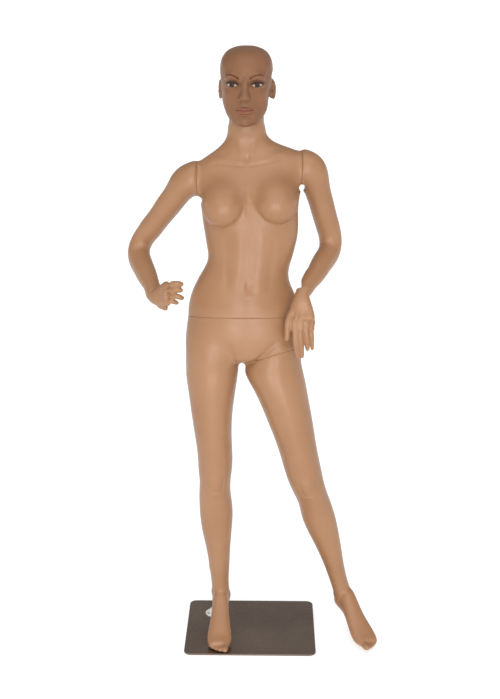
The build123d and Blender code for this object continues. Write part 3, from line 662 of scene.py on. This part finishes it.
def body_pieces():
    """Cut the body clay into torso, hips, leg and arms."""
    clay = sculpt_body()
    waist_up = WAIST_POINT + WAIST_NORMAL * SEAM_GAP
    waist_down = WAIST_POINT - WAIST_NORMAL * SEAM_GAP
    right_in = RIGHT_SHOULDER + np.array((SEAM_GAP * 2, 0, 0))
    left_in = LEFT_SHOULDER - np.array((SEAM_GAP * 2, 0, 0))
    across = np.array((1.0, 0, 0))
    up = np.array((0, 0, 1.0))

    def torso_keep(c):
        arms = (c[:, 2] > SHOULDER_FLOOR) & ((c[:, 0] < right_in[0]) | (c[:, 0] > left_in[0]))
        return (side_of(c, waist_up, WAIST_NORMAL) > 0) & (c[:, 2] < NECK_POINT[2]) & ~arms

    def leg_region(c, gap):
        below = side_of(c, LEG_SEAM_POINT - LEG_SEAM_NORMAL * gap, LEG_SEAM_NORMAL) < 0
        outside = side_of(c, LEG_SEAM_POINT + LEG_WALL_NORMAL * gap, LEG_WALL_NORMAL) > 0
        return below & outside

    def hips_keep(c):
        return (side_of(c, waist_down, WAIST_NORMAL) < 0) & ~leg_region(c, 0)

    torso = cut_piece("torso_skin", clay, [(waist_up, WAIST_NORMAL), (NECK_POINT, up), (right_in, across),
                                           (left_in, across)], torso_keep, (0, -0.07, 1.2))
    hips = cut_piece("hips_and_right_leg_skin", clay,
                     [(waist_down, WAIST_NORMAL), (LEG_SEAM_POINT, LEG_SEAM_NORMAL),
                      (LEG_SEAM_POINT, LEG_WALL_NORMAL)], hips_keep, (-0.10, -0.08, 0.7))
    leg_gap = 2 * SEAM_GAP
    leg = cut_piece("left_leg_skin", clay,
                    [(LEG_SEAM_POINT - LEG_SEAM_NORMAL * leg_gap, LEG_SEAM_NORMAL),
                     (LEG_SEAM_POINT + LEG_WALL_NORMAL * leg_gap, LEG_WALL_NORMAL)],
                    lambda c: leg_region(c, leg_gap), (0.12, -0.10, 0.6))
    add_piece("torso_skin", torso, skin, "upper_body", "torso")
    add_piece("hips_and_right_leg_skin", hips, skin, "root", "lower_body")
    add_piece("left_leg_skin", leg, skin, "root", "left_leg")
    for side, shoulder, wrist, outward in (("right", RIGHT_SHOULDER, RIGHT_WRIST, -1),
                                           ("left", LEFT_SHOULDER, LEFT_WRIST, 1)):
        axis = np.array(JOINTS[f"{side}_wrist"]["axis"])
        arm = cut_piece(f"{side}_arm_skin", clay, [(shoulder, across), (wrist, axis)],
                        lambda c: ((c[:, 0] - shoulder[0]) * outward > 0) & (side_of(c, wrist, axis) < 0),
                        shoulder + np.array((outward * 0.03, 0, -0.10)))
        add_piece(f"{side}_arm_skin", arm, skin, f"{side}_arm", f"{side}_arm")
    bpy.data.meshes.remove(clay)


# ---------------------------------------------------------------- hands
#   knuckle, middle joint, tip and radius of each digit in millimetres, the thumb last, as in the CAD
DIGITS = {
    "right": [
        ((-223, -126, 1106), (-199, -150, 1121), (-181, -137, 1113), 8.5),
        ((-222, -128, 1093), (-196, -155, 1105), (-184, -139, 1097), 8.5),
        ((-226, -127, 1078), (-197, -153, 1085), (-180, -140, 1075), 8.5),
        ((-233, -121, 1065), (-211, -145, 1069), (-195, -134, 1060), 7.5),
        ((-256, -86, 1056), (-243, -102, 1045), (-228, -118, 1041), 9.5),
    ],
    "left": [
        ((122, -116, 1014), (124, -124, 961), (131, -118, 898), 8.5),
        ((137, -118, 1014), (139, -126, 956), (145, -118, 901), 8.5),
        ((153, -115, 1014), (156, -121, 960), (160, -114, 921), 8.2),
        ((166, -108, 1016), (170, -112, 963), (173, -106, 920), 7.2),
        ((122, -97, 1052), (105, -116, 1005), (101, -127, 952), 9.5),
    ],
}
HAND_VOXEL = 1.0 * MM


def nail(clay, tip, along, out, radius):
    """A slightly raised oval nail with a fine groove round it."""
    across = np.cross(along, out)
    centre = tip - along * (radius * 0.62) + out * (radius * 0.45)
    reach = np.full(3, radius * 1.6)
    part, x, y, z = clay.window(centre - reach, centre + reach)
    px, py, pz = x - centre[0], y - centre[1], z - centre[2]
    length = (px * along[0] + py * along[1] + pz * along[2]) / (radius * 0.78)
    width = (px * across[0] + py * across[1] + pz * across[2]) / (radius * 0.66)
    height = px * out[0] + py * out[1] + pz * out[2]
    ratio = np.sqrt(length ** 2 + width ** 2)
    outer_side = smooth_step(height, -radius * 0.5, 0)
    plate = (1 - smooth_step(ratio, 0.82, 1.0)) * outer_side
    groove = np.exp(-((ratio - 1.08) / 0.13) ** 2) * outer_side
    clay.field[part] -= (0.35 * plate - 0.55 * groove) * MM


def hand_piece(side, wrist):
    """One hand with knuckles, tendons, creases and nails, cut at the wrist seam."""
    axis = np.array(JOINTS[f"{side}_wrist"]["axis"])
    nodes = [f"{side}_hand", f"{side}_hand_peg", f"{side}_wrist_socket", f"{side}_arm"]
    low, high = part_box(f"{side}_hand")
    pad = 10 * MM
    clay = Clay(nodes, HAND_VOXEL, [v - pad for v in low], [v + pad for v in high])
    clay.smooth(2.2 * MM)
    digits = [[np.array(p) * MM for p in digit[:3]] + [digit[3] * MM] for digit in DIGITS[side]]
    for knuckle, joint, tip, radius in digits:
        along = unit(tip - joint)
        out = joint - (knuckle + tip) / 2
        out = unit(out - along * (out @ along))
        nail(clay, tip, along, out, radius)
        first = unit(joint - knuckle)
        bend_out = unit(out - first * (out @ first))
        clay.push(joint + bend_out * radius * 0.8, np.full(3, radius * 0.75), 0.5 * MM)
        for shift in (-2.2, 0, 2.2):
            clay.push(joint + bend_out * radius + first * shift * MM, np.full(3, 1.6 * MM), -0.32 * MM)
        clay.push(joint - bend_out * radius * 0.8, np.full(3, 3.0 * MM), -0.6 * MM)
        last = joint + (tip - joint) * 0.55
        clay.push(last + out * radius, np.full(3, 1.8 * MM), -0.3 * MM)
    centre = sum(digit[0] for digit in digits[:4]) / 4
    across = unit(digits[0][0] - digits[3][0])
    forward = unit(centre - wrist)
    back = unit(np.cross(across, forward))
    if back @ np.array((0, -1.0, 0)) < 0:
        back = -back
    for digit in digits[:4]:
        knuckle = digit[0]
        clay.push(knuckle + back * 9 * MM, np.full(3, 7 * MM), 0.7 * MM)
        tendon_root = wrist + (knuckle - centre) * 0.35 + forward * 0.018 + back * 14 * MM
        ridge(clay, [knuckle + back * 11 * MM, tendon_root], np.full(3, 5 * MM), 0.5 * MM)
    for first_digit, second_digit in zip(digits[:3], digits[1:4]):
        between = (first_digit[0] + second_digit[0]) / 2
        ridge(clay, [between + back * 10 * MM, between - forward * 0.022 + back * 12 * MM],
              np.full(3, 5 * MM), -0.5 * MM)
    if side == "right":
        clay.push(HEEL_OF_RIGHT_HAND, mm(24, 38, 24), 4.5 * MM)
    else:
        clay.rod(mm(162, -104, 1040), mm(169, -110, 985), 8.2 * MM, 6 * MM)
    mesh = clay.mesh(f"{side}_hand_clay")
    start = wrist + axis * 2 * SEAM_GAP
    hand = cut_piece(f"{side}_hand_skin", mesh, [(start, axis)], lambda c: side_of(c, start, axis) > 0,
                     centre + back * 0.012, 0.4 * MM)
    bpy.data.meshes.remove(mesh)
    add_piece(f"{side}_hand_skin", hand, skin, f"{side}_hand", f"{side}_hand")


# ---------------------------------------------------------------- head
HEAD_VOXEL = 1.0 * MM
HEAD_CENTRE = mm(-10, 30, 0)
FACE_TURN = math.radians(4.5)
FACE_RIGHT = np.array((math.cos(FACE_TURN), -math.sin(FACE_TURN), 0))
FACE_FRONT = np.array((-math.sin(FACE_TURN), -math.cos(FACE_TURN), 0))
FACE_AXES = np.array((FACE_RIGHT, FACE_FRONT, (0, 0, 1.0)))
EYE_ACROSS = 33.5        # from the face's middle to an eye's middle
EYE_FORWARD = 56.5
EYE_HEIGHT = 1637
EYE_RADIUS = 17.0
EYE_HALF_WIDTH = 15.5
LID_THICK = 1.3


def face_point(across, forward, height):
    """A point of the face from millimetres across, forward and up."""
    return HEAD_CENTRE + (FACE_RIGHT * across + FACE_FRONT * forward) * MM + np.array((0, 0, height * MM))


def eye_opening(across, height):
    """How far inside the almond of an eye a place lies, in millimetres. across grows outward."""
    reach = np.clip((across - EYE_ACROSS) / EYE_HALF_WIDTH, -1.4, 1.4)
    rise = height - EYE_HEIGHT - 0.8 * reach
    upper = 4.3 * (1 - np.abs(reach - 0.06) ** 2.4)
    lower = -5.8 * (1 - np.abs(reach) ** 2.0)
    return np.minimum(upper - rise, rise - lower)


def face_forms(clay):
    """Sockets, brows, cheeks, nose, mouth and chin."""
    def blob(across, forward, height, radii, blend, carve=False):
        clay.blob(face_point(across, forward, height), mm(*radii), blend * MM, FACE_AXES, carve)

    def rod(points, radius, blend, carve=False):
        for start, end in zip(points, points[1:]):
            clay.rod(face_point(*start), face_point(*end), radius * MM, blend * MM, carve)

    def push(across, forward, height, radii, amount):
        clay.push(face_point(across, forward, height), mm(*radii), amount * MM)

    # eye sockets, brows, cheeks and temples
    for side in (-1, 1):
        blob(side * 33, 81, 1641, (19, 11, 11), 11, carve=True)
        rod([(side * 13, 77, 1655), (side * 32, 72.5, 1661.5), (side * 48, 61, 1659)], 6.5, 11)
        push(side * 46, 62, 1612, (17, 22, 13), 2.6)
        push(side * 40, 70, 1580, (13, 24, 16), -2.6)
        push(side * 58, 45, 1655, (12, 22, 16), -2.0)
        push(side * 40, 40, 1550, (14, 24, 12), -1.2)
    # nose
    rod([(0, 80, 1650), (0, 87, 1634), (0, 96, 1610)], 5.2, 8)
    blob(0, 99, 1604.5, (8.6, 8.6, 7.6), 5)
    for side in (-1, 1):
        blob(side * 10.5, 92, 1600.5, (5.4, 8.5, 6.3), 3.5)
        blob(side * 5.3, 99, 1594.5, (2.7, 4.2, 3.2), 1.5, carve=True)
        push(side * 16, 88, 1599, (2.5, 6, 7), -0.9)
    # mouth and chin
    push(0, 86, 1582.5, (17, 16, 12), 1.8)
    push(0, 90, 1584, (2.6, 8, 6), -1.1)
    for side in (-1, 1):
        rod([(side * 22, 77.5, 1570.9), (side * 13, 84, 1573.5), (side * 5, 87.5, 1574.7),
             (0, 88.4, 1573.3)], 3.4, 3)
        rod([(side * 20, 77.5, 1569), (side * 11, 83.2, 1565.1), (0, 86.6, 1564.1)], 5.0, 3)
        rod([(side * 24, 82.5, 1570.9), (side * 12, 90, 1570.5), (side * 3, 93.4, 1570.7),
             (0, 93.2, 1570.1)], 1.0, 1.2, carve=True)
        push(side * 26, 79, 1570, (4, 8, 5), -1.6)
    push(0, 86, 1556.5, (13, 12, 4.2), -2.6)
    blob(0, 74.5, 1541, (16, 12.5, 12), 13)
    # the jaw's left corner
    push(55, 25, 1575, (14, 22, 20), 3.5)


def eyes(clay):
    """Balls with lids that leave an almond open."""
    for side in (-1, 1):
        centre = face_point(side * EYE_ACROSS, EYE_FORWARD, EYE_HEIGHT)
        reach = np.full(3, (EYE_RADIUS + 8) * MM)
        part, x, y, z = clay.window(centre - reach, centre + reach)
        px, py, pz = (x - centre[0]) / MM, (y - centre[1]) / MM, (z - centre[2]) / MM
        across = (px * FACE_RIGHT[0] + py * FACE_RIGHT[1]) * side
        far = np.sqrt(px ** 2 + py ** 2 + pz ** 2)
        opening = eye_opening(across + EYE_ACROSS, pz + EYE_HEIGHT)
        lid = LID_THICK * (1 - smooth_step(opening, -0.5, 0.5))
        fade = 1.2 * smooth_step(-opening, 3.0, 9.0)
        clay.mix(part, (far - EYE_RADIUS - lid + fade) * MM, 2.2 * MM)
        crease = np.abs(-opening - 5.2)
        above = smooth_step(pz, 2.5, 5.0) * smooth_step(far, EYE_RADIUS - 4, EYE_RADIUS - 1)
        clay.field[part] += 0.8 * MM * np.exp(-(crease / 1.1) ** 2) * above


def ears(clay):
    """A rim bent round a hollow, with the flap in front of it."""
    for side in (-1, 1):
        root = face_point(side * 69 - 2, -8, 1619)
        outward = FACE_RIGHT * side
        backward = -FACE_FRONT
        swing = unit(outward * 0.34 + backward * 0.94)
        rim = []
        for step in range(14):
            angle = math.radians(-40 + step * 17)
            rim.append(root + swing * math.sin(angle) * 12.5 * MM + outward * 3.2 * MM
                       + np.array((0, 0, math.cos(angle) * 22 * MM)))
        clay.blob(root + outward * 6 * MM + mm(0, 0, 39), mm(14, 22, 11), 4 * MM, FACE_AXES, carve=True)
        for start, end in zip(rim, rim[1:]):
            clay.rod(start, end, 2.3 * MM, 2.6 * MM)
        hollow = root + outward * 10.0 * MM + backward * 2.5 * MM
        clay.blob(hollow - np.array((0, 0, 3 * MM)), mm(4.2, 6.2, 9.5), 3 * MM, FACE_AXES, carve=True)
        clay.blob(hollow + backward * 2 * MM + np.array((0, 0, 13.5 * MM)), mm(3.6, 5.0, 4.5), 2.5 * MM,
                  FACE_AXES, carve=True)
        clay.blob(root + outward * 5.5 * MM - backward * 8.5 * MM - np.array((0, 0, 3 * MM)),
                  mm(3.0, 3.2, 4.5), 2.5 * MM)


def neck_seam(clay):
    """End the head at its seam with the neck."""
    part, x, y, z = clay.window((-0.2, -0.2, 1.4), (0.2, 0.3, 1.60))
    inside_neck = np.sqrt((x - NECK_POINT[0]) ** 2 + (y - NECK_POINT[1]) ** 2) - NECK_RADIUS - 2.2 * MM
    below = z - NECK_POINT[2] - 2 * SEAM_GAP
    clay.field[part] = np.maximum(clay.field[part], -np.maximum(inside_neck, below))


def sculpt_head():
    """The head and face as clay."""
    clay = Clay(["head", "head_peg"], HEAD_VOXEL)
    clay.smooth(2.0 * MM)
    for shape in (face_forms, eyes, ears, neck_seam):
        shape(clay)
    return clay.mesh("head_skin")


def near_line(across, height, points):
    """Distance to a run of points in the face's front view, and the share along it."""
    best = np.full(across.shape, 1e3)
    share = np.zeros(across.shape)
    spans = len(points) - 1
    for i, (a, b) in enumerate(zip(points, points[1:])):
        run = np.subtract(b, a)
        t = np.clip(((across - a[0]) * run[0] + (height - a[1]) * run[1]) / (run @ run), 0, 1)
        gap = np.hypot(across - a[0] - t * run[0], height - a[1] - t * run[1])
        nearer = gap < best
        best = np.where(nearer, gap, best)
        share = np.where(nearer, (i + t) / spans, share)
    return best, share


def arc_points(points):
    """A smooth curve through a few points, by Lagrange's formula on even steps."""
    steps = np.linspace(0, 1, len(points))
    result = []
    for t in np.linspace(0, 1, 24):
        weights = [np.prod([(t - b) / (a - b) for b in steps if b != a]) for a in steps]
        result.append(tuple(np.dot(weights, np.array(points))))
    return result


BROW_LINE = [(14, 1653.0), (27, 1660.5), (41, 1663.5), (55, 1657.0)]


def paint_face(mesh):
    """Soft-edged masks of the painted make-up, of a painted highlight in each eye and of painted shade
    along the parting of the lips, one attribute each.
    """
    co = np.zeros(len(mesh.vertices) * 3)
    mesh.vertices.foreach_get("co", co)
    local = (co.reshape(-1, 3) - HEAD_CENTRE) @ FACE_AXES.T / MM
    across, forward, height = local.T
    front = smooth_step(forward, 30, 42)
    masks = {name: np.zeros(len(across)) for name, _ in PAINTS}

    def add(name, mask):
        masks[name] = np.maximum(masks[name], np.clip(mask, 0, 1) * front)

    for side in (-1, 1):
        out = across * side
        gap, share = near_line(out, height, arc_points(BROW_LINE))
        width = 2.6 * (1 - share ** 2.2) * smooth_step(share, -0.05, 0.05) + 0.2
        add("brow", 0.95 * (1 - smooth_step(gap, width - 0.5, width + 0.6)))
        opening = eye_opening(out, height)
        add("eye_white", smooth_step(opening, -0.2, 0.4))
        iris = np.hypot(out - EYE_ACROSS - 0.8, height - EYE_HEIGHT + 1.2)
        inside = smooth_step(opening, -0.1, 0.4)
        add("iris", (1 - smooth_step(iris, 6.5, 7.2)) * inside)
        add("pupil", (1 - smooth_step(iris, 2.6, 3.2)) * inside)
        # painted highlight: a small white spot on the iris, standing for a reflected light
        add("painted_highlight", 0.45 * (1 - smooth_step(np.hypot(out - EYE_ACROSS - 0.8 - 1.9 * side,
                                                     height - EYE_HEIGHT - 1.2), 0.2, 0.6)) * inside)
        upper_edge = smooth_step(height, EYE_HEIGHT - 1.2, EYE_HEIGHT + 1.2)
        reach = np.abs((out - EYE_ACROSS) / EYE_HALF_WIDTH)
        around = 1 - smooth_step(reach, 1.0, 1.18)
        add("lash", 0.96 * (1 - smooth_step(np.abs(opening + 1.1), 1.7, 2.9)) * upper_edge * around)
        add("lash", 0.55 * (1 - smooth_step(np.abs(opening + 0.2), 0.4, 1.1)) * (1 - upper_edge) * around)
        shadow = (1 - smooth_step(-opening, 4.5, 12.0)) * upper_edge * (1 - smooth_step(reach, 1.1, 1.55))
        add("eye_shadow", 0.80 * shadow * smooth_step(-opening, -0.5, 0.5))
        add("eye_shadow", 0.25 * (1 - smooth_step(-opening, 1.0, 3.5)) * (1 - upper_edge) * around)
        add("blush", 0.28 * np.exp(-((out - 46) / 15) ** 2 - ((height - 1596) / 17) ** 2))
    reach = np.abs(across) / 24.0
    middle = 1570.5 + 0.35 * reach
    top = 1570.9 + (6.6 - 1.7 * np.exp(-(across / 3.2) ** 2)) * np.clip(1 - reach ** 1.9, 0, 1)
    bottom = 1570.1 - 12.6 * np.clip(1 - reach ** 2.3, 0, 1) ** 0.9
    lip = np.minimum(top - height, height - bottom)
    add("lips", smooth_step(lip, -0.5, 0.6) * (0.70 + 0.30 * smooth_step(height, 1568.5, 1572.5)))
    # painted shade along the crease where the lips meet
    seam = np.abs(height - middle)
    add("mouth_crease_shade", 0.9 * (1 - smooth_step(seam, 0.5, 1.6)) * (1 - smooth_step(reach, 0.9, 1.06)))
    for name, mask in masks.items():
        layer = mesh.attributes.new(name, "FLOAT", "POINT")
        layer.data.foreach_set("value", mask.astype(np.float32))


def head_piece():
    """The painted head, with a finer mesh where the make-up is."""
    mesh = sculpt_head()
    bm = bmesh.new()
    bm.from_mesh(mesh)
    fine = []
    for face in bm.faces:
        across, forward, height = FACE_AXES @ (np.array(face.calc_center_median()) - HEAD_CENTRE) / MM
        if forward > 35 and abs(across) < 62 and 1555 < height < 1670:
            fine.append(face)
    edges = list({edge for face in fine for edge in face.edges})
    bmesh.ops.subdivide_edges(bm, edges=edges, cuts=1, use_grid_fill=True)
    bmesh.ops.triangulate(bm, faces=[f for f in bm.faces if len(f.verts) > 4])
    bm.to_mesh(mesh)
    bm.free()
    mesh.shade_smooth()
    paint_face(mesh)
    add_piece("head_skin", mesh, face_skin, "head", "head")


# ---------------------------------------------------------------- stage, camera and light
FLOOR_HALF = 600.0
FLOOR_HEIGHT = -0.0003      # just under the base
WALL_HEIGHT = 60.0
FLOOR_GLOW = 0.5
SURROUND_STRENGTH = 0.42
CAMERA_PLACE = (0.0520, -3.3119, 1.850)
CAMERA_DOWN = 16.14         # degrees below level
CAMERA_TURN = 0.932         # degrees towards the figure's right
CAMERA_LENS = 61.9
SENSOR_WIDTH = 36.0
BOX_ASIDE = 0.75
BOX_BACK = -3.6
BOX_HEIGHT = 1.0
BOX_SIZE = (0.5, 1.9)
BOX_POWER = 30
OVERHEAD_POWER = 1.9
OVERHEAD_SPREAD = 80        # degrees across
OVERHEAD_LEAN = 42          # degrees forward from straight overhead


def make_floor():
    """A wide plain pale floor with low walls at its far edges."""
    mesh = bpy.data.meshes.new("studio_floor")
    low, high = -FLOOR_HALF, FLOOR_HALF
    corners = [(low, low), (high, low), (high, high), (low, high)]
    points = [(x, y, height) for height in (FLOOR_HEIGHT, WALL_HEIGHT) for x, y in corners]
    walls = [(i, (i + 1) % 4, (i + 1) % 4 + 4, i + 4) for i in range(4)]
    mesh.from_pydata(points, [], [(0, 1, 2, 3)] + walls)
    floor = bpy.data.objects.new("studio_floor", mesh)
    bpy.context.scene.collection.objects.link(floor)
    material, tree, shader = new_material("pale_floor")
    tree.links.new(ramp(tree, noise(tree, 1.5), (0.74, 0.74, 0.74), (0.76, 0.76, 0.76)),
                   shader.inputs["Base Color"])
    shader.inputs["Roughness"].default_value = 0.8
    shader.inputs["Specular IOR Level"].default_value = 0.1
    shader.inputs["Emission Color"].default_value = (1, 1, 1, 1)
    shader.inputs["Emission Strength"].default_value = FLOOR_GLOW
    mesh.materials.append(material)


def make_camera():
    """The camera looks down from just above the head's height, a little off to the figure's left."""
    data = bpy.data.cameras.new("camera")
    data.lens = CAMERA_LENS
    data.sensor_width = SENSOR_WIDTH
    camera = bpy.data.objects.new("camera", data)
    camera.location = CAMERA_PLACE
    camera.rotation_euler = (math.radians(90 - CAMERA_DOWN), 0, math.radians(CAMERA_TURN))
    bpy.context.scene.collection.objects.link(camera)
    bpy.context.scene.camera = camera


def area_light(name, location, target, width, height, power):
    """A rectangular soft box aimed at a point."""
    data = bpy.data.lights.new(name, "AREA")
    data.shape = "RECTANGLE"
    data.size = width
    data.size_y = height
    data.energy = power
    light = bpy.data.objects.new(name, data)
    light.location = location
    light.rotation_euler = (Vector(target) - Vector(location)).to_track_quat("-Z", "Y").to_euler()
    bpy.context.scene.collection.objects.link(light)


def make_light():
    """Dim white surroundings, a wide overhead light and two upright soft boxes in front."""
    world = bpy.data.worlds.new("studio")
    bpy.context.scene.world = world
    world.use_nodes = True
    background = world.node_tree.nodes["Background"]
    background.inputs["Color"].default_value = (1, 1, 1, 1)
    background.inputs["Strength"].default_value = SURROUND_STRENGTH
    for name, x in (("front_left_box", -BOX_ASIDE), ("front_right_box", BOX_ASIDE)):
        area_light(name, (x, BOX_BACK, BOX_HEIGHT), (0, 0, BOX_HEIGHT), *BOX_SIZE, BOX_POWER)
    sun = bpy.data.lights.new("overhead", "SUN")
    sun.energy = OVERHEAD_POWER
    sun.angle = math.radians(OVERHEAD_SPREAD)
    lamp = bpy.data.objects.new("overhead", sun)
    lamp.rotation_euler = (math.radians(OVERHEAD_LEAN), 0, 0)
    bpy.context.scene.collection.objects.link(lamp)
    bpy.context.scene.view_settings.view_transform = "Standard"
    bpy.context.scene.view_settings.look = "None"


body_pieces()
hand_piece("right", RIGHT_WRIST)
hand_piece("left", LEFT_WRIST)
head_piece()
make_floor()
make_camera()
make_light()
